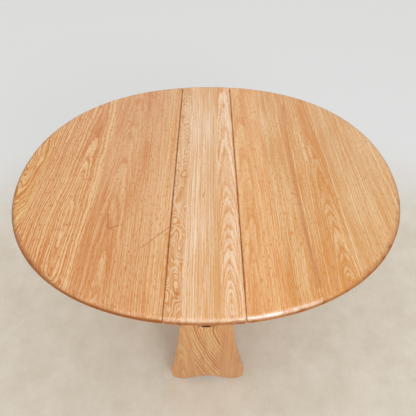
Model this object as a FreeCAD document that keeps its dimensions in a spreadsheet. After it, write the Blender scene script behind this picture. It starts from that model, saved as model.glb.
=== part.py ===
"""Gateleg dining table: an oval top of three boards on two waisted slab ends.

Millimetres. The origin is on the floor under the middle of the top, +Z is up, +Y runs along the
seams away from the viewer and +X points right, across the leaves. Both leaves are up and both
gates are folded beside the spine.
"""
import FreeCAD, Part
import math
import os
import re
import Sketcher

Vector = FreeCAD.Vector
HALF_TURN = FreeCAD.Rotation(Vector(0, 0, 1), 180)

# Driving dimensions, one cell each
SIZES = {
    # oval top
    "top_width": 1220,          # across the leaves
    "top_depth": 1077,          # along the seams
    "top_fullness": 0.814,      # 0.707 is an ellipse, 1 nearly squared at the shoulders
    "table_height": 720,
    "top_thick": 22,
    "board_width": 198,         # from seam to seam
    "seam_gap": 1.2,
    "seam_round": 4,
    "rim_round": 16,
    "under_round": 5,
    # slab ends
    "slab_thick": 32,
    "slab_top_width": 143,
    "slab_foot_width": 274,
    "lobe_height": 72.5,        # where the hollow side runs out into the foot
    "foot_round": 42,
    "arch_width": 148,
    "arch_height": 28,
    "arch_round": 20,
    "slab_edge_round": 4,
    "slot_edge_round": 16,      # scoop of the slot's mouth in the outer face
    "slot_width": 50,
    "slot_height": 26,
    "slot_floor": 430,          # lowest point of the slot, above the slab's foot
    "felt_thick": 2,
    "felt_length": 22,
    "felt_width": 12,
    # rails and blocks between the slabs
    "spine_thick": 30,
    "spine_low": 395,
    "spine_deep": 135,
    "tongue_clear": 1,          # spine's tongue to the floor and roof of the slab's slot
    "tongue_set_back": 6,       # tongue's end behind the slab's outer face
    "stretcher_thick": 28,
    "stretcher_deep": 70,
    "block_width": 132,
    "block_length": 80,
    "bearer_thick": 30,
    "pivot_block_low": 50,
    "pivot_block_thick": 40,
    "dowel_radius": 5,
    "dowel_depth": 20,          # into each of the two pieces it joins
    "rail_dowel_edge": 17.5,    # from the rail's edges
    # gates
    "pivot_inset": 45,          # pivot line from the middle plane
    "gate_radius": 616,         # pivot line to the middle of the gate's leg
    "leg_clear": 22,            # folded leg to the far pivot block
    "gate_open": 55,            # swing, degrees
    "stile_width": 30,
    "stile_length": 36,
    "leg_width": 36,
    "gate_rail_thick": 22,
    "gate_rail_deep": 45,
    "lower_rail_low": 110,
    "upper_rail_low": 195,
    "gate_dowel_radius": 4,
    "gate_dowel_edge": 11,      # from the gate rail's edges
    "pivot_radius": 6,
    "pivot_depth": 20,          # into the stile
    "pivot_engage": 24,         # into the block
    "washer_thick": 1.5,
    "washer_radius": 13,
    "running_gap": 0.05,        # radial, pin in hole
    "face_gap": 0.4,            # between faces that move past each other
    "pad_thick": 2,
    "glide_thick": 5,
    "glide_radius": 12,
    "edge_round": 3,
    # leaf stops
    "stop_length": 64,
    "stop_width": 24,
    "stop_deep": 16,
    # hinges
    "hinge_length": 60,
    "hinge_spread": 330,        # outer hinges from the middle one
    "plate_width": 30,
    "plate_thick": 2,
    "knuckle_radius": 3.8,
    "knuckle_gap": 0.3,
    "hinge_pin_radius": 2,
    "screw_radius": 1.75,
    "screw_head_radius": 3.5,
    "screw_depth": 13,          # into the wood
    "screw_pitch": 20,          # along the plate
    "screw_stagger": 3.75,      # across the plate, to either side of its middle
    "bearer_screw_radius": 2.5,
    "bearer_screw_head": 5,
    "bearer_screw_head_tall": 4,
    "bearer_screw_spread": 16,  # along the seams, from the bearer's middle
}

# Sizes that follow from the driving ones, as formulas of the same sheet
FORMULAS = {
    "underside": "table_height - top_thick",
    "seam_line": "board_width / 2",
    "slab_inner": "(gate_radius + leg_width / 2 + leg_clear + 3 * block_length / 2) / 2",
    "slab_middle": "slab_inner + slab_thick / 2",
    "slab_tall": "underside - felt_thick",
    "slab_spread": "(slab_foot_width - slab_top_width) / 2",
    "slab_waist": "slab_tall - lobe_height",
    "slab_side_radius": "(slab_waist * slab_waist + slab_spread * slab_spread) / (2 * slab_spread)",
    "hinge_line": "underside - knuckle_radius - face_gap",
    "plate_clear": "knuckle_radius + face_gap",
    "knuckle_length": "(hinge_length - 2 * knuckle_gap) / 3",
    "bearer_low": "underside - bearer_thick",
    "pivot_block_top": "pivot_block_low + pivot_block_thick",
    "spine_top": "spine_low + spine_deep",
    "stretcher_top": "pivot_block_top + stretcher_deep",
    "stile_low": "pivot_block_top + washer_thick",
    "stile_top": "bearer_low - washer_thick",
    "pivot_reach": "slab_inner - block_length / 2",
    "leg_line": "gate_radius - pivot_reach",
    "leg_top": "underside - face_gap - pad_thick",
}


doc = FreeCAD.newDocument("gateleg_table")
sheet = doc.addObject("Spreadsheet::Sheet", "sizes")
SCRATCH_CELL = "D1"
TOUCH = 0.01                    # points closer than this are in the same place
BOX_SLACK = 0.1                 # bounding boxes of arcs are a little loose
for row, (alias, value) in enumerate(list(SIZES.items()) + list(FORMULAS.items()), start=1):
    sheet.set("A%d" % row, alias)
    sheet.set("B%d" % row, str(value) if alias in SIZES else "=" + value)
    sheet.setAlias("B%d" % row, alias)
doc.recompute()

NODES = {}


def of_sheet(formula):
    """The formula with each size's name read from the sheet."""

    def from_sheet(found):
        word = found.group(0)
        return "sizes." + word if word in SIZES or word in FORMULAS else word

    return re.sub(r"[a-z_]+", from_sheet, formula)


def number(formula):
    """Value of a formula, worked out by the sheet."""
    sheet.set(SCRATCH_CELL, "=" + formula)
    sheet.recompute()
    return float(sheet.get(SCRATCH_CELL))


def bind(thing, **formulas):
    """Tie properties to the sheet; a double underscore stands for a dot."""
    for name, formula in formulas.items():
        thing.setExpression(name.replace("__", "."), of_sheet(formula))


def node(name, thing):
    """Hand the object in as the sub-part with this name."""
    thing.Label = name
    NODES[name] = thing
    return thing


def place(thing, x="0", y="0", z="0"):
    bind(thing, Placement__Base__x=x, Placement__Base__y=y, Placement__Base__z=z)
    return thing


def reach(span):
    """Length of the span between two formulas."""
    return "(%s) - (%s)" % (span[1], span[0])


def box(name, x, y, z):
    """Block between pairs of formulas along each axis."""
    block = doc.addObject("Part::Box", name)
    bind(block, Length=reach(x), Width=reach(y), Height=reach(z))
    return place(block, x[0], y[0], z[0])


def turned(side, x, y):
    """Spans in x and y, turned half round the table's upright axis for the side -1."""
    if side > 0:
        return x, y
    return ("-(%s)" % x[1], "-(%s)" % x[0]), ("-(%s)" % y[1], "-(%s)" % y[0])


def upright(name, radius, x, y, z):
    """Upright cylinder between two heights."""
    rod = doc.addObject("Part::Cylinder", name)
    bind(rod, Radius=radius, Height=reach(z))
    return place(rod, x, y, z[0])


def along_y(name, radius, x, y, z):
    """Cylinder lying along Y between two places."""
    rod = doc.addObject("Part::Cylinder", name)
    rod.Placement = FreeCAD.Placement(Vector(), FreeCAD.Rotation(Vector(1, 0, 0), -90))
    bind(rod, Radius=radius, Height=reach(y))
    return place(rod, x, y[0], z)


def group(name, members):
    """Like pieces that share one sub-part."""
    bundle = doc.addObject("Part::Compound", name)
    bundle.Links = members
    return bundle


def fuse(name, members):
    joined = doc.addObject("Part::MultiFuse", name)
    joined.Shapes = members
    joined.Refine = True
    return joined


def cut(name, base, tool):
    carved = doc.addObject("Part::Cut", name)
    carved.Base = base
    carved.Tool = tool
    return carved


def edge_names(shape, wanted):
    return ["Edge%d" % i for i, edge in enumerate(shape.Edges, start=1) if wanted(edge)]


def eased(name, block, axis):
    """The block with its edges along one axis rounded."""
    doc.recompute()
    rounded = doc.addObject("Part::Fillet", name)
    rounded.Base = block
    radius = SIZES["edge_round"]
    picked = []
    for i, edge in enumerate(block.Shape.Edges, start=1):
        run = edge.Vertexes[1].Point - edge.Vertexes[0].Point
        if abs(run.normalize().dot(axis)) > 0.99:
            picked.append((i, radius, radius))
    rounded.Edges = picked
    return rounded


def new_body(name):
    return doc.addObject("PartDesign::Body", name)


def new_sketch(body, name, role):
    sketch = body.newObject("Sketcher::SketchObject", name)
    plane = next(item for item in body.Origin.OriginFeatures if item.Role == role)
    sketch.AttachmentSupport = [(plane, "")]
    sketch.MapMode = "FlatFace"
    return sketch


def dimension(sketch, formula, kind, *where):
    """A dimension of the sketch, tied to the sheet."""
    value = number(formula)
    index = sketch.addConstraint(Sketcher.Constraint(kind, *where, value))
    sketch.setExpression("Constraints[%d]" % index, of_sheet(formula))


def draw_rectangle(sketch, x, y):
    """Rectangle between pairs of formulas."""
    (x0, x1), (y0, y1) = [[number(f) for f in pair] for pair in (x, y)]
    corners = [Vector(x0, y0), Vector(x1, y0), Vector(x1, y1), Vector(x0, y1)]
    first = sketch.GeometryCount
    for i in range(4):
        sketch.addGeometry(Part.LineSegment(corners[i], corners[(i + 1) % 4]), False)
    for i in range(4):
        sketch.addConstraint(Sketcher.Constraint("Coincident", first + i, 2, first + (i + 1) % 4, 1))
        sketch.addConstraint(Sketcher.Constraint("Horizontal" if i % 2 == 0 else "Vertical", first + i))
    for end, line in ((0, first), (1, first + 2)):
        dimension(sketch, x[end], "DistanceX", -1, 1, line, 1)
        dimension(sketch, y[end], "DistanceY", -1, 1, line, 1)


def locate(sketch, index, x, y):
    """Dimension a centre from the origin; "0" puts it on the axis."""
    for formula, kind, axis in ((x, "DistanceX", -2), (y, "DistanceY", -1)):
        if formula == "0":
            sketch.addConstraint(Sketcher.Constraint("PointOnObject", index, 3, axis))
        else:
            dimension(sketch, formula, kind, -1, 1, index, 3)


def draw_circle(sketch, x, y, radius):
    centre = Vector(number(x), number(y))
    index = sketch.addGeometry(Part.Circle(centre, Vector(0, 0, 1), number(radius)), False)
    dimension(sketch, radius, "Radius", index)
    locate(sketch, index, x, y)


def draw_oval(sketch, width, depth, fullness):
    """Oval of four conic quarters round the origin; fullness is the weight of their corner poles."""
    right, back = "%s / 2" % width, "%s / 2" % depth
    for x in (right, "-" + right):
        for y in (back, "-" + back):
            poles = ((x, "0"), (x, y), ("0", y))
            points = [Vector(number(pole_x), number(pole_y)) for pole_x, pole_y in poles]
            quarter = Part.BSplineCurve()
            quarter.buildFromPolesMultsKnots(
                points, [3, 3], [0, 1], False, 2, [1, number(fullness), 1])
            curve = sketch.addGeometry(quarter, False)
            first = sketch.GeometryCount
            sketch.exposeInternalGeometry(curve)
            dimension(sketch, fullness, "Weight", first + 1)
            for index, (pole_x, pole_y) in enumerate(poles, start=first):
                locate(sketch, index, pole_x, pole_y)


def draw_obround(sketch, width, height, floor):
    """Slot with round ends, level, centred on the sketch's upright axis."""
    radius = number(height) / 2
    reach = number(width) / 2 - radius
    middle = number(floor) + radius
    left, right = Vector(-reach, middle), Vector(reach, middle)
    up = Vector(0, radius)
    normal = Vector(0, 0, 1)
    quarter = math.pi / 2
    east_round = Part.ArcOfCircle(Part.Circle(right, normal, radius), -quarter, quarter)
    west_round = Part.ArcOfCircle(Part.Circle(left, normal, radius), quarter, 3 * quarter)
    base = sketch.addGeometry(Part.LineSegment(left - up, right - up), False)
    east = sketch.addGeometry(east_round, False)
    roof = sketch.addGeometry(Part.LineSegment(right + up, left + up), False)
    west = sketch.addGeometry(west_round, False)
    for one, other in ((base, east), (east, roof), (roof, west), (west, base)):
        sketch.addConstraint(Sketcher.Constraint("Tangent", one, 2, other, 1))
    sketch.addConstraint(Sketcher.Constraint("Horizontal", base))
    sketch.addConstraint(Sketcher.Constraint("Symmetric", west, 3, east, 3, -2))
    dimension(sketch, "(%s) / 2" % height, "Radius", east)
    dimension(sketch, "(%s - %s) / 2" % (width, height), "DistanceX", -1, 1, east, 3)
    dimension(sketch, "%s + (%s) / 2" % (floor, height), "DistanceY", -1, 1, east, 3)


def pad(body, sketch, length, both_ways=False):
    feature = body.newObject("PartDesign::Pad", "Pad")
    feature.Profile = sketch
    feature.Midplane = both_ways
    bind(feature, Length=length)
    return feature


def pocket(body, sketch):
    """Cut right through, both ways."""
    feature = body.newObject("PartDesign::Pocket", "Pocket")
    feature.Profile = sketch
    feature.Type = "ThroughAll"
    feature.Midplane = True
    return feature


def fillet(body, radius, names_of):
    """Round the edges or faces that names_of picks from the body as it stands."""
    doc.recompute()
    base = body.Tip
    feature = body.newObject("PartDesign::Fillet", "Fillet")
    feature.Base = (base, names_of(base.Shape))
    bind(feature, Radius=radius)
    return feature


def at_height(z):
    return lambda edge: all(abs(point.z - z) < TOUCH for point in edge.discretize(5))


def top_board(name, removed, half_turn=False):
    """Board of the oval top: the whole oval with its rim, less the spans of X in removed."""
    body = new_body(name + "_body")
    outline = new_sketch(body, name + "_oval", "XY_Plane")
    draw_oval(outline, "top_width", "top_depth", "top_fullness")
    pad(body, outline, "top_thick")
    fillet(body, "rim_round", lambda shape: edge_names(shape, at_height(number("top_thick"))))
    fillet(body, "under_round", lambda shape: edge_names(shape, at_height(0)))
    seams = new_sketch(body, name + "_seams", "XY_Plane")
    for span in removed:
        draw_rectangle(seams, span, ("-top_depth", "top_depth"))
    pocket(body, seams)

    def seam_faces(shape):
        faces = []
        for i, face in enumerate(shape.Faces, start=1):
            flat = isinstance(face.Surface, Part.Plane)
            if flat and abs(face.normalAt(0, 0).x) > 1 - TOUCH:
                faces.append("Face%d" % i)
        return faces

    fillet(body, "seam_round", seam_faces)
    if half_turn:
        body.Placement.Rotation = HALF_TURN
    place(body, z="underside")
    return node(name, body)


def slab(name, side, dowels):
    """Waisted slab end with a round-ended slot, two foot lobes and a shallow arch between them."""
    body = new_body(name + "_body")
    blank = new_sketch(body, name + "_blank", "XZ_Plane")
    draw_rectangle(blank, ("-slab_foot_width / 2", "slab_foot_width / 2"), ("0", "slab_tall"))
    pad(body, blank, "slab_thick", both_ways=True)
    waist = new_sketch(body, name + "_waist", "XZ_Plane")
    for way in ("", "-"):
        centre = "%s(slab_top_width / 2 + slab_side_radius)" % way
        draw_circle(waist, centre, "slab_tall", "slab_side_radius")
    pocket(body, waist)
    half_foot = number("slab_foot_width") / 2

    def foot_corners(edge):
        point = edge.CenterOfMass
        return abs(abs(point.x) - half_foot) < TOUCH and point.z < TOUCH

    fillet(body, "foot_round", lambda shape: edge_names(shape, foot_corners))
    arch = new_sketch(body, name + "_arch", "XZ_Plane")
    arch_radius = "((arch_width * arch_width / 4 + arch_height * arch_height) / (2 * arch_height))"
    draw_circle(arch, "0", "arch_height - %s" % arch_radius, arch_radius)
    pocket(body, arch)
    half_arch = number("arch_width") / 2

    def arch_corners(edge):
        point = edge.CenterOfMass
        return abs(abs(point.x) - half_arch) < TOUCH and point.z < TOUCH

    fillet(body, "arch_round", lambda shape: edge_names(shape, arch_corners))
    slot = new_sketch(body, name + "_slot", "XZ_Plane")
    draw_obround(slot, "slot_width", "slot_height", "slot_floor")
    pocket(body, slot)

    half_thick, tall = number("slab_thick / 2"), number("slab_tall")
    slot_low, slot_high = number("slot_floor"), number("slot_floor + slot_height")
    slot_half = number("slot_width / 2")

    def on_faces(edge):
        return all(abs(abs(point.y) - half_thick) < TOUCH for point in edge.discretize(5))

    def of_slot(edge):
        reached = edge.BoundBox
        within = reached.XMin > -slot_half - BOX_SLACK and reached.XMax < slot_half + BOX_SLACK
        level = reached.ZMin > slot_low - BOX_SLACK and reached.ZMax < slot_high + BOX_SLACK
        return on_faces(edge) and within and level

    def of_mouth(edge):
        return of_slot(edge) and edge.CenterOfMass.y > 0

    def of_outline(edge):
        points = edge.discretize(5)
        level = all(abs(p.z - tall) < TOUCH for p in points) or all(p.z < TOUCH for p in points)
        return on_faces(edge) and not of_slot(edge) and not level

    fillet(body, "slot_edge_round", lambda shape: edge_names(shape, of_mouth))
    fillet(body, "slab_edge_round", lambda shape: edge_names(shape, of_outline))
    if side < 0:
        body.Placement.Rotation = HALF_TURN
    place(body, y="%s * slab_middle" % side, z="felt_thick")
    return node(name, cut(name, body, dowels))


def dowel_rows(name, heights):
    """Dowels from each end of a rail into the two slabs, as one group for each end."""
    ends = {}
    for side in (-1, 1):
        pins = []
        for height in heights:
            span = ("%d * slab_inner - dowel_depth" % side, "%d * slab_inner + dowel_depth" % side)
            pins.append(along_y("dowel", "dowel_radius", "0", span, height))
        ends[side] = group(name + ("_front" if side < 0 else "_rear"), pins)
    return ends


def rail_between_slabs(name, thick, low, high, dowels, tongues=None):
    """Rail from slab to slab, with the bar, if any, whose ends are its tongues."""
    half = "%s / 2" % thick
    blank = box(name + "_blank", ("-" + half, half), ("-slab_inner", "slab_inner"), (low, high))
    rail = eased(name + "_eased", blank, Vector(0, 1, 0))
    if tongues:
        rail = fuse(name + "_whole", [rail, tongues])
    return node(name, cut(name, rail, dowels))


def spine_tongues():
    """Bar whose ends stand in the flat middle of both slabs' slots, short of the outer faces."""
    half = "(slot_width - slot_height) / 2"
    tip = "(slab_inner + slab_thick - tongue_set_back)"
    low = "felt_thick + slot_floor + tongue_clear"
    high = "felt_thick + slot_floor + slot_height - tongue_clear"
    bar = box("spine_tongues_blank", ("-" + half, half), ("-" + tip, tip), (low, high))
    return eased("spine_tongues", bar, Vector(0, 1, 0))


def screw(name, x, y, head_low, head_tall, wood_top, radius, head_radius):
    """Countersunk wood screw driven upwards."""
    head = doc.addObject("Part::Cone", name + "_head")
    bind(head, Radius1=head_radius, Radius2=radius, Height=head_tall)
    place(head, x, y, head_low)
    shank = upright(name + "_shank", radius, x, y, ("%s + %s" % (head_low, head_tall), wood_top))
    return fuse(name, [head, shank])


def end_blocks():
    """Bearers under the centre board and pivot blocks near the floor, at both slabs."""
    screws = []
    half = "block_width / 2"
    for end, side in (("front", -1), ("rear", 1)):
        x, y = turned(side, ("-" + half, half), ("slab_inner - block_length", "slab_inner"))
        pivot = ("%d * pivot_inset" % side, "%d * pivot_reach" % side)
        hole_radius = "pivot_radius + running_gap"
        bearer = box(end + "_bearer_blank", x, y, ("bearer_low", "underside"))
        here = []
        for way in (-1, 1):
            screw_x = "%d * pivot_inset" % -side if way < 0 else "0"
            screw_y = "%d * (pivot_reach + %d * bearer_screw_spread)" % (side, way)
            here.append(screw(end + "_bearer_screw", screw_x, screw_y,
                              "bearer_low", "bearer_screw_head_tall", "underside + screw_depth",
                              "bearer_screw_radius", "bearer_screw_head"))
        screws += here
        socket = upright(end + "_bearer_socket", hole_radius, *pivot,
                         ("bearer_low", "bearer_low + pivot_engage + face_gap"))
        holes = group(end + "_bearer_holes", here + [socket])
        node(end + "_bearer", cut(end + "_bearer", bearer, holes))
        block = box(end + "_pivot_block_blank", x, y, ("pivot_block_low", "pivot_block_top"))
        block = eased(end + "_pivot_block_eased", block, Vector(1, 0, 0))
        well = upright(end + "_pivot_well", hole_radius, *pivot,
                       ("pivot_block_top - pivot_engage - face_gap", "pivot_block_top"))
        node(end + "_pivot_block", cut(end + "_pivot_block", block, well))
    node("bearer_screws", group("bearer_screws", screws))


def gate(name, side):
    """Gate: pivot stile, two low rails and a tall leg, folded beside the spine."""
    centre_x = "pivot_inset"

    def across(width):
        return ("%s - %s / 2" % (centre_x, width), "%s + %s / 2" % (centre_x, width))

    def bar(label, width, y, z, axis):
        blank = box(label + "_blank", *turned(side, across(width), y), z)
        return eased(label + "_eased", blank, axis)

    stile_y = ("pivot_reach - stile_length / 2", "pivot_reach + stile_length / 2")
    leg_y = ("-leg_line - leg_width / 2", "-leg_line + leg_width / 2")
    up, lengthways = Vector(0, 0, 1), Vector(0, 1, 0)
    stile = bar(name + "_stile", "stile_width", stile_y, ("stile_low", "stile_top"), up)
    leg = bar(name + "_leg", "leg_width", leg_y, ("glide_thick", "leg_top"), up)
    x, y = "%d * (%s)" % (side, centre_x), "%d * pivot_reach" % side
    low_pin = ("pivot_block_top - pivot_engage", "stile_low + pivot_depth")
    high_pin = ("stile_top - pivot_depth", "bearer_low + pivot_engage")
    pins = [upright(name + "_pivot_pin", "pivot_radius", x, y, span) for span in (low_pin, high_pin)]
    pins = node(name + "_pivot_pins", group(name + "_pivot_pins", pins))
    washers = []
    for low, high in (("pivot_block_top", "stile_low"), ("stile_top", "bearer_low")):
        disc = upright(name + "_washer_disc", "washer_radius", x, y, (low, high))
        hole = upright(name + "_washer_hole", "pivot_radius + running_gap", x, y, (low, high))
        washers.append(cut(name + "_washer", disc, hole))
    node(name + "_washers", group(name + "_washers", washers))
    dowels = []
    rail_y = (leg_y[1], stile_y[0])
    rails = {}
    for which in ("lower", "upper"):
        low = which + "_rail_low"
        label = "%s_%s_rail" % (name, which)
        high = low + " + gate_rail_deep"
        rails[label] = bar(label, "gate_rail_thick", rail_y, (low, high), lengthways)
        for height in (low + " + gate_dowel_edge", high + " - gate_dowel_edge"):
            for end in rail_y:
                joint = "%d * (%s)" % (side, end)
                span = (joint + " - dowel_depth", joint + " + dowel_depth")
                dowels.append(along_y(name + "_dowel", "gate_dowel_radius", x, span, height))
    pegs = node(name + "_dowels", group(name + "_dowels", dowels))
    for label, rail in rails.items():
        node(label, cut(label, rail, pegs))
    node(name + "_leg", cut(name + "_leg", leg, pegs))
    node(name + "_stile", cut(name + "_stile", stile, group(name + "_stile_holes", [pins, pegs])))
    foot_y = "%d * (-leg_line)" % side
    node(name + "_glide", upright(name + "_glide", "glide_radius", x, foot_y, ("0", "glide_thick")))
    pad_y = (leg_y[0] + " + edge_round", leg_y[1] + " - edge_round")
    pad_spans = turned(side, across("(leg_width - 2 * edge_round)"), pad_y)
    node(name + "_leg_pad", box(name + "_leg_pad", *pad_spans, ("leg_top", "leg_top + pad_thick")))


def leaf_stop(name, side):
    """Block under the leaf that the open gate's leg swings up against."""
    block = doc.addObject("Part::Box", name)
    bind(block, Length="stop_length", Width="stop_width", Height="stop_deep")
    block.Placement.Rotation = FreeCAD.Rotation(Vector(0, 0, 1), 1)
    along, onward = "(gate_radius - stop_length / 2)", "(leg_width / 2 + face_gap)"
    swing = "(gate_open * 1deg)"
    x = "pivot_inset + sin(%s) * %s + cos(%s) * %s" % (swing, along, swing, onward)
    y = "pivot_reach - cos(%s) * %s + sin(%s) * %s" % (swing, along, swing, onward)
    place(block, "%d * (%s)" % (side, x), "%d * (%s)" % (side, y), "underside - stop_deep")
    half_turn = 0 if side > 0 else 180
    bind(block, Placement__Rotation__Angle="(gate_open - 90 + %d) * 1deg" % half_turn)
    return node(name, block)


def hinge_half(name, side, y, outward, knuckles):
    """Plate of a hinge with its own knuckles: outward 1 is under the leaf, -1 under the board."""

    def span(near, far):
        ends = ["%d * (seam_line + %d * (%s))" % (side, outward, f) for f in (near, far)]
        return tuple(ends if side * outward > 0 else ends[::-1])

    pin_x = "%d * seam_line" % side
    length = ("%s - hinge_length / 2" % y, "%s + hinge_length / 2" % y)
    plate_z = ("underside - plate_thick", "underside")
    pieces = [box(name + "_plate", span("plate_clear", "plate_width"), length, plate_z)]
    for k in knuckles:
        start = "%s - hinge_length / 2 + %d * (knuckle_length + knuckle_gap)" % (y, k)
        along = (start, "%s + knuckle_length" % start)
        pieces.append(box(name + "_tongue", span("seam_gap / 2", "plate_clear"), along, plate_z))
        pieces.append(along_y(name + "_knuckle", "knuckle_radius", pin_x, along, "hinge_line"))
    whole = fuse(name + "_whole", pieces)
    hole_radius = "hinge_pin_radius" if outward < 0 else "hinge_pin_radius + running_gap"
    hole = along_y(name + "_hole", hole_radius, pin_x, length, "hinge_line")
    screws = []
    for step in (-1, 0, 1):
        stagger = "%d * screw_stagger" % (1 if step == 0 else -1)
        middle = "(plate_width + plate_clear) / 2 + %s" % stagger
        screw_x = "%d * (seam_line + %d * (%s))" % (side, outward, middle)
        screw_y = "%s + %d * screw_pitch" % (y, step)
        screws.append(screw(name + "_screw", screw_x, screw_y,
                            "underside - plate_thick", "plate_thick", "underside + screw_depth",
                            "screw_radius", "screw_head_radius"))
    return cut(name, whole, group(name + "_holes", [hole] + screws)), screws


def hinges(name, side):
    """Three hinges under one seam: plates, pins and screws grouped by what they move with."""
    halves = {-1: [], 1: []}
    screws = {-1: [], 1: []}
    pins = []
    for y in ("-hinge_spread", "0", "hinge_spread"):
        for outward, knuckles in ((-1, (0, 2)), (1, (1,))):
            half, its_screws = hinge_half(name, side, y, outward, knuckles)
            halves[outward].append(half)
            screws[outward] += its_screws
        ends = ("%s - hinge_length / 2" % y, "%s + hinge_length / 2" % y)
        pin_x = "%d * seam_line" % side
        pins.append(along_y(name + "_pin", "hinge_pin_radius", pin_x, ends, "hinge_line"))
    for outward, under in ((-1, "board"), (1, "leaf")):
        node("%s_%s_plates" % (name, under), group("%s_%s_plates" % (name, under), halves[outward]))
        node("%s_%s_screws" % (name, under), group("%s_%s_screws" % (name, under), screws[outward]))
    node(name + "_pins", group(name + "_pins", pins))


def felt_pads():
    """Felt strips under the foot lobes of both slabs."""
    strips = []
    outer = "(slab_foot_width / 2 - foot_round)"
    for end in (-1, 1):
        middle = "%d * slab_middle" % end
        y = (middle + " - felt_length / 2", middle + " + felt_length / 2")
        for x in ((outer + " - felt_width", outer), ("-" + outer, "felt_width - " + outer)):
            strips.append(box("felt", x, y, ("0", "felt_thick")))
    node("slab_felt_pads", group("slab_felt_pads", strips))


def build():
    edge = "(seam_line - seam_gap / 2)"
    inner = "(seam_line + seam_gap / 2)"
    top_board("centre_board", [("-top_width", "-" + edge), (edge, "top_width")])
    beyond_left_seam = [("-" + inner, "top_width")]
    top_board("left_leaf", beyond_left_seam)
    top_board("right_leaf", beyond_left_seam, half_turn=True)
    spine_heights = ("spine_low + rail_dowel_edge", "spine_top - rail_dowel_edge")
    stretcher_heights = ("pivot_block_top + rail_dowel_edge", "stretcher_top - rail_dowel_edge")
    spine_dowels = dowel_rows("spine_dowels", spine_heights)
    stretcher_dowels = dowel_rows("stretcher_dowels", stretcher_heights)
    both = {name: group(name, list(ends.values()))
            for name, ends in (("spine_dowels", spine_dowels), ("stretcher_dowels", stretcher_dowels))}
    for name, pegs in both.items():
        node(name, pegs)
    for name, side in (("front_slab", -1), ("rear_slab", 1)):
        slab(name, side, group(name + "_holes", [spine_dowels[side], stretcher_dowels[side]]))
    rail_between_slabs("spine_rail", "spine_thick", "spine_low", "spine_top",
                       both["spine_dowels"], spine_tongues())
    rail_between_slabs("low_stretcher", "stretcher_thick", "pivot_block_top", "stretcher_top",
                       both["stretcher_dowels"])
    end_blocks()
    felt_pads()
    for name, side in (("left", -1), ("right", 1)):
        hinges(name + "_hinge", side)
        gate(name + "_gate", side)
        leaf_stop(name + "_leaf_stop", side)


def check_and_write():
    doc.recompute()
    for thing in doc.Objects:
        assert not {"Invalid", "Error"} & set(thing.State), "%s failed" % thing.Label
    os.makedirs("parts", exist_ok=True)
    for name, thing in NODES.items():
        shape = thing.Shape
        assert not shape.isNull() and shape.isValid(), "%s has no valid shape" % name
    for name, thing in NODES.items():
        thing.Shape.exportStep("parts/%s.step" % name)
        print(name, len(thing.Shape.Solids), "solids", round(thing.Shape.Volume), "mm3")


build()
check_and_write()
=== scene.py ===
"""Looks of a gateleg dining table: lacquered elm boards, a rail painted dark as shade and brassed
hinges.
"""

from collections import namedtuple
from math import cos, radians, sin

import bpy
from mathutils import Matrix, Vector


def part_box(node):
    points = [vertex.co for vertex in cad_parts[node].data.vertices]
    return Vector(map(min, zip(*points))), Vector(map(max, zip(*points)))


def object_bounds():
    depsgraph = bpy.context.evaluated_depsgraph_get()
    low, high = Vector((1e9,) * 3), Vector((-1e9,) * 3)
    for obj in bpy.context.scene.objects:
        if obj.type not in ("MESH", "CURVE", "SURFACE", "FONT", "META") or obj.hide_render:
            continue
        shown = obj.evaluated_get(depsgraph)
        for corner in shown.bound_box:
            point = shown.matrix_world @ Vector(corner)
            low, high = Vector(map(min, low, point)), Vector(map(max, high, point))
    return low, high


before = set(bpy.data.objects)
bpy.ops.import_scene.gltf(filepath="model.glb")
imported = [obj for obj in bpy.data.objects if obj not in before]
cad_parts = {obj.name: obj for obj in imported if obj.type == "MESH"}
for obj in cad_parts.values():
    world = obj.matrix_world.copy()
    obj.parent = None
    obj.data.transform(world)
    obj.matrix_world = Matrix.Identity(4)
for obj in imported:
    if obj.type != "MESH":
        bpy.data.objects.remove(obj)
cad_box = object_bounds()

TOP_FACE = cad_box[1].z
SLAB_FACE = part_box("front_slab")[0].y
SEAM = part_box("centre_board")[1].x

# The camera of the photograph, in metres and degrees of the row frame.
CAMERA_PLACE = Vector((0.0158, -0.9417, 1.5386))
CAMERA_YAW = radians(-0.571)
CAMERA_PITCH = radians(46.922)
CAMERA_ROLL = radians(-0.785)
CAMERA_LENS = 32.625
SENSOR = 36.0


def linear(red, green, blue):
    """A colour given in the 0 to 255 steps of an sRGB screen, as the shaders take it."""
    def channel(step):
        share = step / 255
        return share / 12.92 if share <= 0.04045 else ((share + 0.055) / 1.055) ** 2.4
    return channel(red), channel(green), channel(blue), 1.0


class Field:
    """A value that varies over a surface: one output of a shader node."""

    def __init__(self, tree, socket):
        self.tree = tree
        self.socket = socket

    def math(self, operation, *values):
        made = self.tree.nodes.new("ShaderNodeMath")
        made.operation = operation
        for slot, value in zip(made.inputs, values):
            feed(self.tree, slot, value)
        return Field(self.tree, made.outputs["Value"])

    def __add__(self, other):
        return self.math("ADD", self, other)

    def __radd__(self, other):
        return self.math("ADD", other, self)

    def __sub__(self, other):
        return self.math("SUBTRACT", self, other)

    def __rsub__(self, other):
        return self.math("SUBTRACT", other, self)

    def __mul__(self, other):
        return self.math("MULTIPLY", self, other)

    def __truediv__(self, other):
        return self.math("DIVIDE", self, other)

    def root(self):
        return self.math("SQRT", self)

    def size(self):
        return self.math("ABSOLUTE", self)

    def beyond(self, limit):
        return self.math("GREATER_THAN", self, limit)

    def larger(self, other):
        return self.math("MAXIMUM", self, other)

    def fraction(self):
        return self.math("FRACT", self)

    def whole(self):
        return self.math("FLOOR", self)

    def clamped(self):
        made = self.tree.nodes.new("ShaderNodeClamp")
        feed(self.tree, made.inputs["Value"], self)
        return Field(self.tree, made.outputs["Result"])

    def eased(self, low, high):
        """Rises smoothly from 0 at low to 1 at high."""
        made = self.tree.nodes.new("ShaderNodeMapRange")
        made.interpolation_type = "SMOOTHSTEP"
        for slot, value in zip(made.inputs, (self, low, high, 0.0, 1.0)):
            feed(self.tree, slot, value)
        return Field(self.tree, made.outputs["Result"])


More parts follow.
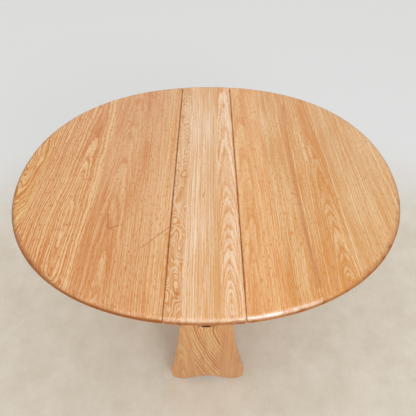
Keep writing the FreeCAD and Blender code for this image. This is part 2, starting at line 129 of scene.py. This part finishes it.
def feed(tree, slot, value):
    """Gives a node's input a field or a plain value."""
    if isinstance(value, Field):
        tree.links.new(value.socket, slot)
    else:
        slot.default_value = value


def vector(tree, x, y, z):
    made = tree.nodes.new("ShaderNodeCombineXYZ")
    for slot, value in zip(made.inputs, (x, y, z)):
        feed(tree, slot, value)
    return Field(tree, made.outputs["Vector"])


def noise(tree, point, detail=2.0, roughness=0.5):
    """Soft random values from about 0.25 to 0.75, one cell to a unit of the point."""
    made = tree.nodes.new("ShaderNodeTexNoise")
    feed(tree, made.inputs["Vector"], point)
    made.inputs["Scale"].default_value = 1.0
    made.inputs["Detail"].default_value = detail
    made.inputs["Roughness"].default_value = roughness
    return Field(tree, made.outputs["Fac"])


def chance(tree, value):
    """One random value from 0 to 1 for each whole number."""
    made = tree.nodes.new("ShaderNodeTexWhiteNoise")
    made.noise_dimensions = "1D"
    feed(tree, made.inputs["W"], value)
    return Field(tree, made.outputs["Value"])


# The Mix node's sockets for colours have to be picked by number: it has others of the same names.
MIX_SHARE, MIX_FIRST, MIX_SECOND, MIX_RESULT = 0, 6, 7, 2


def blend(tree, share, first, second):
    """Colour between two colours."""
    made = tree.nodes.new("ShaderNodeMix")
    made.data_type = "RGBA"
    for number, value in ((MIX_SHARE, share), (MIX_FIRST, first), (MIX_SECOND, second)):
        feed(tree, made.inputs[number], value)
    return Field(tree, made.outputs[MIX_RESULT])


def new_material(name):
    material = bpy.data.materials.new(name)
    material.use_nodes = True
    tree = material.node_tree
    return material, tree, tree.nodes["Principled BSDF"]


def coordinates(tree, axes="XYZ"):
    """The object's own coordinates, in metres, in the order asked for."""
    split = tree.nodes.new("ShaderNodeSeparateXYZ")
    made = tree.nodes.new("ShaderNodeTexCoord")
    tree.links.new(made.outputs["Object"], split.inputs["Vector"])
    return [Field(tree, split.outputs[axis]) for axis in axes]


def add_bump(tree, shader, height, distance, strength):
    made = tree.nodes.new("ShaderNodeBump")
    made.inputs["Strength"].default_value = strength
    made.inputs["Distance"].default_value = distance
    feed(tree, made.inputs["Height"], height)
    tree.links.new(made.outputs["Normal"], shader.inputs["Normal"])


# One glued stave of a board. It starts at edge, measured across the grain. Its rings are round a
# pith line that passes (across, along) at depth below the face and rises by tilt along the grain,
# less and less beyond the length bend. The rings are ring apart and stray by wander. They show as
# narrow dark lines, or as narrow pale ones where lines is negative. A burl of 1 leaves no pith,
# only whirls. Short dark flecks lie between. The stave grows paler across the grain by lean for
# each metre.
Stave = namedtuple(
    "Stave", "edge dark pale across along depth tilt bend ring wander lines burl flecks lean")
# An edge beyond any board, for its first stave, and a bend too long to show.
FIRST = -9.0
STRAIGHT = 99.0
# How far red, green and blue go apart between late and early wood.
LIGHT_SPREAD = (0.145, 0.44, 0.85)


def stave(edge, colour, pith, depth, tilt, ring, wander, lines=0.5, contrast=1.0, bend=STRAIGHT,
          burl=0.0, flecks=0.3, lean=0.0):
    """A stave whose late wood is darker and redder than its colour, and its early wood paler."""
    def shade(way):
        parts = zip(linear(*colour), LIGHT_SPREAD)
        return *(value * (1 + way * contrast * spread) for value, spread in parts), 1.0
    return Stave(edge, shade(-1), shade(1), *pith, depth, tilt, bend, ring, wander, lines, burl,
                 flecks, lean)


def of_stave(across, staves, name):
    """A number of the stave that a point lies in."""
    result = getattr(staves[0], name)
    for before, after in zip(staves, staves[1:]):
        step = getattr(after, name) - getattr(before, name)
        if step:
            result = across.beyond(after.edge) * step + result
    return result


def colour_of_stave(tree, across, staves, name):
    result = getattr(staves[0], name)
    for after in staves[1:]:
        result = blend(tree, across.beyond(after.edge), result, getattr(after, name))
    return result


# A random layer of the grain: cell width across and length along it, in metres, and its noise.
Layer = namedtuple("Layer", "width length detail roughness shift", defaults=(2.0, 0.5, 0.0))
FIBRE = Layer(0.0026, 0.16, roughness=0.6)
PORE = Layer(0.0011, 0.010, detail=1.0)
FLECK = Layer(0.0026, 0.019, detail=1.0, shift=5.0)
STREAK = Layer(0.011, 0.42, shift=3.0)
CLOUD = Layer(0.06, 0.40, shift=7.0)
WANDER = Layer(0.030, 0.15)
RAGGED = Layer(0.007, 0.020, detail=1.0, shift=9.0)
BURL = Layer(0.050, 0.130, detail=1.0, shift=2.0)
SWAY = Layer(0.22, 0.45, detail=1.0)
RIM_PATCH = Layer(0.030, 0.030, detail=4.0, roughness=0.6)
NOISE_MIDDLE = 0.5

# How far some layers move the grain, in metres.
SWAY_REACH = 0.020
RAGGED_REACH = 0.0034
BURL_DEPTH = 0.16

# One annual ring, from 0 to 1: it pales slowly and darkens fast. The rings differ in strength, and
# their spacing drifts by so many rings.
RING_PALES = (0.0, 0.55)
RING_DARKENS = (0.82, 1.0)
RING_MEAN = 0.60
RING_WEAKEST = 0.5
RING_SPREAD = 0.9
RING_DRIFT = 2.6
RING_DRIFT_RATE = 0.31

# Where a layer's noise counts as a pore or a fleck, and the weight of each layer in the tone.
PORE_LIMITS = (0.58, 0.72)
FLECK_LIMITS = (0.57, 0.70)
TONE_MIDDLE = 0.5
FIBRE_TONE = 1.5
STREAK_TONE = 0.9
CLOUD_TONE = 0.8
PORE_TONE = 0.25

# Painted shade: the top's colour is darkened a little towards its two ends.
FRONT_END = (-0.12, -0.44)
FRONT_PAINTED_SHADE = 0.11
BACK_END = (0.12, 0.44)
BACK_PAINTED_SHADE = 0.06

# Relief and gloss of the surface.
FIBRE_HEIGHT = 0.6
RING_HEIGHT = 0.3
PORE_HEIGHT = 0.8
GRAIN_RELIEF = 0.0004
GRAIN_BUMP = 0.25
PORE_ROUGHNESS = 0.15
CLOUD_ROUGHNESS = 0.12
COAT_ROUGHNESS = 0.10

# Dark specks: cell and radius across the grain in metres, drawn out along it.
SPECK_CELL = 0.035
SPECK_RADIUS = 0.0016
SPECK_SHORTENING = 0.35
SPECK_RARITY = 0.72
SPECK_STRENGTH = 0.5
SCAR = linear(188, 98, 28)

# Painted light: the rounded edges of the two seams are painted pale, to lighten the shade of the
# gap between the boards.
SEAM_PAINTED_LIGHT = linear(250, 178, 100)
SEAM_REACH = (0.0006, 0.0022)
SEAM_LIGHT_SHARE = 0.78
SEAM_FIBRE = 1.2

# Painted light and wear of a board's rounded rim: strength of the painted highlight on its
# front, depth at which painted shade fully browns its side, and strength of the painted shade low
# on its front.
Rim = namedtuple("Rim", "haze brown_depth nose_brown")
# Brown of the rim: painted shade on its sides and low front, mixed with patches of old brown
# lacquer.
RIM_SHADE_AND_LACQUER = linear(154, 82, 2)
# Pinkish white painted highlight: the glint of the window on the front of the rim.
RIM_PAINTED_HIGHLIGHT = linear(244, 226, 216)
LOWER_SHADE_SHARE = 0.90
STAIN_SHARE = 0.3
BROWN_ROUGHNESS = 0.40
STAINED_PATCH = (0.50, 0.66)
HIGHLIGHT_PATCH = (0.76, 0.34)
# Places along the seams where the front of the rim and its painted highlight begin and are full.
RIM_FRONT = (-0.36, -0.50)
HIGHLIGHT_FRONT = (-0.46, -0.515)
# Depths below the face where each part of the painted shade, painted highlight and wear begins,
# or ends, and is full, or gone.
TURN_BEGINS, TURN_ENDS = (0.00002, 0.00015), (0.0004, 0.0020)
STAIN_BEGINS, STAIN_ENDS = (0.0005, 0.0030), (0.0180, 0.0218)
HIGHLIGHT_BEGINS, HIGHLIGHT_ENDS = (0.0004, 0.0030), (0.0050, 0.0110)
NOSE_BEGINS, SHADE_ENDS = (0.0032, 0.0105), (0.0200, 0.0218)


def random_layer(tree, place, layer):
    """Soft random values over a board, drawn out along the grain."""
    across, along, deep = place
    point = vector(tree, across * (1 / layer.width) + layer.shift, along * (1 / layer.length),
                   deep * (1 / layer.width))
    return noise(tree, point, layer.detail, layer.roughness)


def swing(tree, place, layer):
    """A random layer that lies round zero."""
    return random_layer(tree, place, layer) - NOISE_MIDDLE


def to_line(place, start, end):
    """Distance to a straight mark between two points of the face."""
    run = Vector(end) - Vector(start)
    u, v = place[0] - start[0], place[1] - start[1]
    share = (u * (run.x / run.length_squared) + v * (run.y / run.length_squared)).clamped()
    du, dv = u - share * run.x, v - share * run.y
    return (du * du + dv * dv).root()


def lines_of(place, lines, ground):
    """A field with straight marks over it. Each has two ends, its reach and its strength."""
    for start, end, reach, strength in lines:
        ground = ground.larger((1.0 - to_line(place, start, end).eased(0.0, reach)) * strength)
    return ground


def specks(tree, place):
    """A few short dark dashes: one in some of the cells of a loose grid."""
    made = tree.nodes.new("ShaderNodeTexVoronoi")
    feed(tree, made.inputs["Vector"], vector(tree, place[0], place[1] * SPECK_SHORTENING, 0.0))
    made.inputs["Scale"].default_value = 1 / SPECK_CELL
    split = tree.nodes.new("ShaderNodeSeparateColor")
    tree.links.new(made.outputs["Color"], split.inputs["Color"])
    few = Field(tree, split.outputs["Red"]).beyond(SPECK_RARITY)
    size = Field(tree, split.outputs["Green"]) * (SPECK_RADIUS / SPECK_CELL)
    return few * (1.0 - Field(tree, made.outputs["Distance"]).eased(0.0, size))


def rim_light_and_wear(tree, place, face, rim):
    """How far a rounded rim is browned by painted shade and old lacquer, and how strong its painted
    highlight is.
    """
    drop = face - place[2]
    patches = random_layer(tree, place, RIM_PATCH)
    front = place[1].eased(*RIM_FRONT)
    # A dark line where the top turns down, partly painted shade, in patches with the brown band
    # below it.
    turn = drop.eased(*TURN_BEGINS) - drop.eased(*TURN_ENDS)
    # Painted shade: the sides of the rim, and the low part of its front, are browned as though in
    # shade.
    side = (drop / rim.brown_depth).root().clamped()
    nose = drop.eased(*NOSE_BEGINS) * rim.nose_brown
    below = (side + front * (nose - side)) * (1.0 - drop.eased(*SHADE_ENDS))
    band = turn + drop.eased(*STAIN_BEGINS) - drop.eased(*STAIN_ENDS)
    stained = patches.eased(*STAINED_PATCH) * band
    # Painted highlight: the glint of the window on the upper front of the rim, in patches.
    painted_highlight = (drop.eased(*HIGHLIGHT_BEGINS) - drop.eased(*HIGHLIGHT_ENDS)) * patches.eased(*HIGHLIGHT_PATCH)
    shade_and_lacquer = (below * LOWER_SHADE_SHARE + stained * STAIN_SHARE).clamped()
    return shade_and_lacquer, painted_highlight * place[1].eased(*HIGHLIGHT_FRONT) * rim.haze


def ring_radius(tree, place, grain, face, staves):
    """Distance from the pith of the stave that a point lies in, with all its wandering."""
    across, along, deep = place

    def here(name):
        return of_stave(across, staves, name)
    pith_v = along - here("along")
    pith_v = pith_v / (1.0 + pith_v.size() / here("bend"))
    pith_u = grain[0] - here("across")
    pith_w = deep - face + here("depth") + pith_v * here("tilt")
    radius = (pith_u * pith_u + pith_w * pith_w).root()
    if any(one.burl for one in staves):
        contour = random_layer(tree, grain, BURL) * BURL_DEPTH
        radius = radius + here("burl") * (contour - radius)
    radius = radius + swing(tree, place, WANDER) * here("wander")
    return radius + swing(tree, place, RAGGED) * RAGGED_REACH


def annual_rings(tree, radius, spacing):
    """From 0 in the dark late wood to 1, or a little more, in the pale early wood."""
    count = radius / spacing
    drift = noise(tree, vector(tree, count * RING_DRIFT_RATE, 0.0, 0.0), detail=1.0)
    count = count + (drift - NOISE_MIDDLE) * RING_DRIFT
    share = count.fraction()
    ring = share.eased(*RING_PALES) - share.eased(*RING_DARKENS)
    return ring * (RING_WEAKEST + chance(tree, count.whole()) * RING_SPREAD)


def wood(name, axes, face, staves, marks=(), stains=(), rim=None, turned=False, sheen=0.34,
         coat=0.50, gloss=0.50):
    """Lacquered wood: annual rings cut through at an angle, fibres, pores and worn marks.

    Marks are straight dents and stains are straight streaks without a dent. A board with a rim
    also gets painted shade and a painted highlight on its rim, painted light on its seams and
    painted shade towards the ends of the top.
    """
    material, tree, shader = new_material(name)
    across, along, deep = coordinates(tree, axes)
    if turned:
        across, deep = across * -1.0, deep * -1.0
    place = across, along, deep
    grain = across + swing(tree, place, SWAY) * SWAY_REACH, along, deep
    radius = ring_radius(tree, place, grain, face, staves)
    ring = annual_rings(tree, radius, of_stave(across, staves, "ring"))
    fibres = swing(tree, grain, FIBRE)
    streaks = swing(tree, grain, STREAK)
    clouds = swing(tree, grain, CLOUD)
    pores = random_layer(tree, grain, PORE).eased(*PORE_LIMITS)
    flecks = random_layer(tree, grain, FLECK).eased(*FLECK_LIMITS)
    tone = TONE_MIDDLE + (ring - RING_MEAN) * of_stave(across, staves, "lines")
    tone = tone + fibres * FIBRE_TONE + streaks * STREAK_TONE + clouds * CLOUD_TONE
    tone = tone - flecks * of_stave(across, staves, "flecks") - pores * PORE_TONE
    if any(one.lean for one in staves):
        beside = across - of_stave(across, staves, "edge")
        tone = tone + beside * of_stave(across, staves, "lean")
    if rim:
        # Painted shade towards the front and back ends of the top.
        tone = tone - along.eased(*FRONT_END) * FRONT_PAINTED_SHADE - along.eased(*BACK_END) * BACK_PAINTED_SHADE
    height = fibres * FIBRE_HEIGHT + ring * RING_HEIGHT - pores * PORE_HEIGHT
    worn = lines_of(place, marks, specks(tree, place) * SPECK_STRENGTH)
    height = height - worn
    worn = lines_of(grain, stains, worn)
    dark = colour_of_stave(tree, across, staves, "dark")
    pale = colour_of_stave(tree, across, staves, "pale")
    colour = blend(tree, worn.clamped(), blend(tree, tone.clamped(), dark, pale), SCAR)
    if rim:
        # Painted shade browns the rim and a painted highlight lights its front, over patches of old
        # lacquer.
        shade_and_lacquer, painted_highlight = rim_light_and_wear(tree, place, face, rim)
        colour = blend(tree, painted_highlight, blend(tree, shade_and_lacquer, colour, RIM_SHADE_AND_LACQUER), RIM_PAINTED_HIGHLIGHT)
        # Painted light: the rounded edges of the two seams are painted pale, lightening the shade
        # of the gap.
        seam_light = 1.0 - (across.size() - SEAM).size().eased(*SEAM_REACH)
        colour = blend(tree, seam_light * (SEAM_LIGHT_SHARE + fibres * SEAM_FIBRE), colour, SEAM_PAINTED_LIGHT)
        coat = coat - shade_and_lacquer * coat
        sheen = sheen + shade_and_lacquer * BROWN_ROUGHNESS
    feed(tree, shader.inputs["Base Color"], colour)
    feed(tree, shader.inputs["Roughness"],
         sheen + pores * PORE_ROUGHNESS - clouds * CLOUD_ROUGHNESS)
    shader.inputs["Specular IOR Level"].default_value = gloss
    feed(tree, shader.inputs["Coat Weight"], coat)
    shader.inputs["Coat Roughness"].default_value = COAT_ROUGHNESS
    add_bump(tree, shader, height, GRAIN_RELIEF, GRAIN_BUMP)
    return material


left_leaf_wood = wood(
    "left leaf elm", "XYZ", TOP_FACE,
    [stave(FIRST, (223, 166, 97), (-0.590, 0.06), 0.004, 0.20, 0.0058, 0.024, -0.90, 1.1,
           burl=0.10, flecks=0.6),
     stave(-0.531, (221, 159, 99), (-0.400, -0.22), 0.0, 0.13, 0.0078, 0.018, 0.74, 1.1,
           bend=0.5, flecks=1.0, lean=1.0),
     stave(-0.340, (219, 157, 100), (-0.270, -0.62), 0.010, 0.055, 0.0065, 0.014, 0.42,
           0.90, flecks=0.9, lean=1.2),
     stave(-0.142, (228, 176, 123), (-0.050, -0.62), 0.020, 0.030, 0.0065, 0.010, 0.36,
           0.90, flecks=0.9)],
    marks=[((-0.285, -0.197), (-0.277, -0.253), 0.0038, 0.90),
           ((-0.277, -0.253), (-0.248, -0.242), 0.0038, 0.85),
           ((-0.173, -0.323), (-0.104, -0.251), 0.0034, 0.62),
           ((-0.202, 0.430), (-0.106, 0.118), 0.0024, 0.25)],
    rim=Rim(0.10, 0.0060, 1.1))
centre_wood = wood(
    "centre elm", "XYZ", TOP_FACE,
    [stave(FIRST, (226, 177, 129), (-0.075, 0.0), 0.0, 0.0, 0.0070, 0.010, -0.62, 0.95, burl=1.0),
     stave(-0.057, (235, 193, 152), (0.06, 0.0), 0.03, 0.012, 0.0066, 0.014, 0.42, 0.85),
     stave(0.005, (231, 188, 143), (-0.05, 0.0), 0.03, -0.010, 0.0052, 0.009, 0.36, 0.85),
     stave(0.041, (235, 187, 142), (0.068, -0.505), 0.0, 0.26, 0.0043, 0.006, 0.52, 0.90,
           bend=0.35)],
    marks=[((-0.069, -0.450), (-0.069, -0.478), 0.0060, 0.60),
           ((-0.079, -0.476), (-0.083, -0.496), 0.0056, 0.35),
           ((-0.055, -0.420), (-0.056, -0.520), 0.0050, 0.22),
           ((-0.006, -0.112), (-0.006, -0.130), 0.0034, 0.60)],
    rim=Rim(0.25, 0.0060, 0.90))
right_leaf_wood = wood(
    "right leaf elm", "XYZ", TOP_FACE,
    [stave(FIRST, (232, 174, 114), (0.130, -0.62), 0.006, 0.050, 0.0070, 0.010, 0.30,
           0.85, flecks=0.8),
     stave(0.207, (227, 176, 119), (0.366, -0.45), 0.0, 0.30, 0.0042, 0.009, 0.50, 0.95,
           bend=0.22, flecks=0.7, lean=-1.6),
     stave(0.400, (224, 173, 116), (0.70, 0.0), 0.05, 0.020, 0.0070, 0.010, 0.44, 0.85,
           flecks=0.5, lean=0.8)],
    marks=[((0.266, -0.116), (0.270, -0.119), 0.0046, 0.75)],
    stains=[((0.302, 0.380), (0.285, 0.000), 0.011, 0.36),
            ((0.285, 0.000), (0.279, -0.240), 0.011, 0.46),
            ((0.279, -0.240), (0.285, -0.445), 0.012, 0.54),
            ((0.350, -0.450), (0.378, -0.430), 0.0060, 0.35)],
    rim=Rim(0.75, 0.0100, 0.85))
SLAB_STAVES = [
    stave(FIRST, (205, 143, 80), (-0.088, 0.10), 0.01, 0.10, 0.0085, 0.008, 0.45, 0.75),
    stave(-0.045, (205, 145, 84), (0.2545, 0.50), 0.155, -0.28, 0.0078, 0.008, -1.2, 1.1),
    stave(0.045, (204, 140, 80), (0.20, 0.2), 0.06, 0.02, 0.0090, 0.008, 0.30, 0.75)]
front_slab_wood = wood("front slab elm", "XZY", SLAB_FACE, SLAB_STAVES)
rear_slab_wood = wood("rear slab elm", "XZY", SLAB_FACE, SLAB_STAVES, turned=True)


def plain_wood(name, axes, colour, ring=0.005, **looks):
    """Straight grained wood of the hidden frame."""
    grain = stave(FIRST, colour, (0.11, 0.05), 0.06, 0.02, ring, 0.005, 0.55)
    return wood(name, axes, 0.0, [grain], **looks)


FRAME_COLOUR = (204, 149, 92)
upright_wood = plain_wood("frame elm upright", "XZY", FRAME_COLOUR)
lengthways_wood = plain_wood("frame elm lengthways", "XYZ", FRAME_COLOUR)
crossways_wood = plain_wood("frame elm crossways", "YXZ", FRAME_COLOUR)
# The spine rail is painted dark: its colour is painted shade, the shade under the top where it
# shows through the slot of the slab.
rail_shade_wood = plain_wood("rail dark as shade", "ZYX", (84, 30, 14), sheen=0.60, coat=0.0, gloss=0.15)
dowel_wood = plain_wood("beech dowel", "XYZ", (210, 174, 130), 0.002, sheen=0.6, coat=0.0)


# Cells to a metre, and the weights, of the patches and scratches of plated metal.
METAL_PATCHES = 180
SCRATCHES_ACROSS = 2600
SCRATCHES_ALONG = 120
SCRATCH_WEIGHT = 0.4
METAL_WEAR = (0.55, 0.95)
METAL_RELIEF = 0.0002
METAL_BUMP = 0.2


def metal(name, colour, worn, roughness, spread):
    """Plated sheet or rod: dull patches, fine scratches and worn lighter places."""
    material, tree, shader = new_material(name)
    x, y, z = coordinates(tree)
    patches = noise(
        tree, vector(tree, x * METAL_PATCHES, y * METAL_PATCHES, z * METAL_PATCHES),
        detail=4.0, roughness=0.6)
    scratches = noise(
        tree, vector(tree, x * SCRATCHES_ACROSS, y * SCRATCHES_ALONG, z * SCRATCHES_ACROSS))
    wear = (patches + scratches * SCRATCH_WEIGHT).eased(*METAL_WEAR)
    feed(tree, shader.inputs["Base Color"], blend(tree, wear, linear(*colour), linear(*worn)))
    feed(tree, shader.inputs["Roughness"], roughness + (patches - NOISE_MIDDLE) * spread)
    shader.inputs["Metallic"].default_value = 1.0
    add_bump(tree, shader, scratches + patches, METAL_RELIEF, METAL_BUMP)
    return material


brass = metal("dull brass", (176, 142, 84), (206, 178, 118), roughness=0.38, spread=0.3)
steel = metal("zinc plated steel", (176, 174, 170), (210, 208, 204), roughness=0.34, spread=0.25)

# Where the mottling of matt pieces turns from dark to pale, and how it changes their surface.
MOTTLING = (0.3, 0.7)
MOTTLE_ROUGHNESS = 0.2
MOTTLE_BUMP = 0.4


def matt(name, dark, pale, scale, roughness, relief, fuzz=0.0):
    """Moulded nylon or pressed felt: fine mottling with a matching surface."""
    material, tree, shader = new_material(name)
    x, y, z = coordinates(tree)
    grain = noise(tree, vector(tree, x * scale, y * scale, z * scale), detail=4.0, roughness=0.65)
    feed(tree, shader.inputs["Base Color"],
         blend(tree, grain.eased(*MOTTLING), linear(*dark), linear(*pale)))
    feed(tree, shader.inputs["Roughness"], roughness + (grain - NOISE_MIDDLE) * MOTTLE_ROUGHNESS)
    shader.inputs["Sheen Weight"].default_value = fuzz
    add_bump(tree, shader, grain, relief, MOTTLE_BUMP)
    return material


nylon = matt("nylon", (214, 210, 200), (232, 229, 221), scale=900.0, roughness=0.5, relief=0.0001)
felt = matt("pressed felt", (94, 70, 48), (140, 110, 80), scale=2400.0, roughness=0.95,
            relief=0.0006, fuzz=0.4)

FINISHES = {
    "centre_board": centre_wood,
    "left_leaf": left_leaf_wood,
    "right_leaf": right_leaf_wood,
    "front_slab": front_slab_wood,
    "rear_slab": rear_slab_wood,
    "spine_rail": rail_shade_wood,
    "low_stretcher": lengthways_wood,
    "front_bearer": crossways_wood,
    "rear_bearer": crossways_wood,
    "front_pivot_block": crossways_wood,
    "rear_pivot_block": crossways_wood,
    "bearer_screws": steel,
    "spine_dowels": dowel_wood,
    "stretcher_dowels": dowel_wood,
    "slab_felt_pads": felt,
}
SIDE_FINISHES = {
    "hinge_board_plates": brass,
    "hinge_board_screws": brass,
    "hinge_leaf_plates": brass,
    "hinge_leaf_screws": brass,
    "hinge_pins": steel,
    "gate_stile": upright_wood,
    "gate_leg": upright_wood,
    "gate_lower_rail": lengthways_wood,
    "gate_upper_rail": lengthways_wood,
    "gate_pivot_pins": steel,
    "gate_washers": nylon,
    "gate_dowels": dowel_wood,
    "gate_glide": nylon,
    "gate_leg_pad": felt,
    "leaf_stop": crossways_wood,
}
for side in ("left", "right"):
    for piece, finish in SIDE_FINISHES.items():
        FINISHES[f"{side}_{piece}"] = finish
for name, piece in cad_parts.items():
    piece.data.materials.clear()
    piece.data.materials.append(FINISHES[name])

# A pale floor, with soft clouds and fine grit. Far from the table it turns into a paler ground.
FLOOR_REACH = 30.0
FLOOR_CLOUDS = 9
FLOOR_GRIT = 240
FLOOR_CLOUD_WEIGHT = 0.6
FLOOR_GRIT_WEIGHT = 0.4
FLOOR_MOTTLING = (0.3, 0.7)
FLOOR_DARK = linear(211, 201, 183)
FLOOR_PALE = linear(228, 221, 208)
FLOOR_FAR = linear(232, 234, 235)
FLOOR_MIDDLE_Y = -0.9
FLOOR_FADE = (1.45, 2.4)
FLOOR_ROUGHNESS = 0.9

floor_mesh = bpy.data.meshes.new("floor")
floor_mesh.from_pydata(
    [(x * FLOOR_REACH, y * FLOOR_REACH, 0.0) for x, y in ((-1, -1), (1, -1), (1, 1), (-1, 1))],
    [], [(0, 1, 2, 3)])
floor = bpy.data.objects.new("floor", floor_mesh)
bpy.context.scene.collection.objects.link(floor)
floor_finish, floor_tree, floor_shader = new_material("pale floor")
floor_x, floor_y, floor_z = coordinates(floor_tree)
floor_clouds = noise(
    floor_tree, vector(floor_tree, floor_x * FLOOR_CLOUDS, floor_y * FLOOR_CLOUDS, floor_z),
    detail=6.0, roughness=0.7)
floor_grit = noise(
    floor_tree, vector(floor_tree, floor_x * FLOOR_GRIT, floor_y * FLOOR_GRIT, floor_z))
floor_tone = floor_clouds * FLOOR_CLOUD_WEIGHT + floor_grit * FLOOR_GRIT_WEIGHT
floor_colour = blend(floor_tree, floor_tone.eased(*FLOOR_MOTTLING), FLOOR_DARK, FLOOR_PALE)
floor_v = floor_y - FLOOR_MIDDLE_Y
floor_radius = (floor_x * floor_x + floor_v * floor_v).root()
feed(floor_tree, floor_shader.inputs["Base Color"],
     blend(floor_tree, floor_radius.eased(*FLOOR_FADE), floor_colour, FLOOR_FAR))
floor_shader.inputs["Roughness"].default_value = FLOOR_ROUGHNESS
floor_mesh.materials.append(floor_finish)

SKY_COLOUR = (1.0, 0.985, 0.96, 1.0)
SKY_STRENGTH = 0.87
world = bpy.data.worlds.new("soft studio")
world.use_nodes = True
world.node_tree.nodes["Background"].inputs["Color"].default_value = SKY_COLOUR
world.node_tree.nodes["Background"].inputs["Strength"].default_value = SKY_STRENGTH
bpy.context.scene.world = world

# One window behind the camera, to the right. Its light glints on the front of the rim.
WINDOW_PLACE = Vector((0.95, -2.6, 1.9))
WINDOW_TARGET = Vector((0.0, 0.0, TOP_FACE))
WINDOW_WIDTH = 1.1
WINDOW_HEIGHT = 0.70
WINDOW_POWER = 26.0
DAYLIGHT = (0.82, 0.93, 1.0)

window_light = bpy.data.lights.new("window", "AREA")
window_light.shape = "RECTANGLE"
window_light.size = WINDOW_WIDTH
window_light.size_y = WINDOW_HEIGHT
window_light.energy = WINDOW_POWER
window_light.color = DAYLIGHT
window = bpy.data.objects.new("window", window_light)
window.location = WINDOW_PLACE
window.rotation_euler = (WINDOW_TARGET - WINDOW_PLACE).to_track_quat("-Z", "Y").to_euler()
bpy.context.scene.collection.objects.link(window)

camera_data = bpy.data.cameras.new("photo camera")
camera_data.sensor_width = SENSOR
camera_data.lens = CAMERA_LENS
camera = bpy.data.objects.new("photo camera", camera_data)
forward = Vector((sin(CAMERA_YAW) * cos(CAMERA_PITCH), cos(CAMERA_YAW) * cos(CAMERA_PITCH),
                  -sin(CAMERA_PITCH)))
level_right = Vector((cos(CAMERA_YAW), -sin(CAMERA_YAW), 0.0))
level_up = level_right.cross(forward)
right = cos(CAMERA_ROLL) * level_right + sin(CAMERA_ROLL) * level_up
up = cos(CAMERA_ROLL) * level_up - sin(CAMERA_ROLL) * level_right
turn = Matrix((right, up, -forward)).transposed().to_4x4()
camera.matrix_world = Matrix.Translation(CAMERA_PLACE) @ turn
bpy.context.scene.collection.objects.link(camera)
bpy.context.scene.camera = camera
bpy.context.scene.view_settings.view_transform = "Standard"
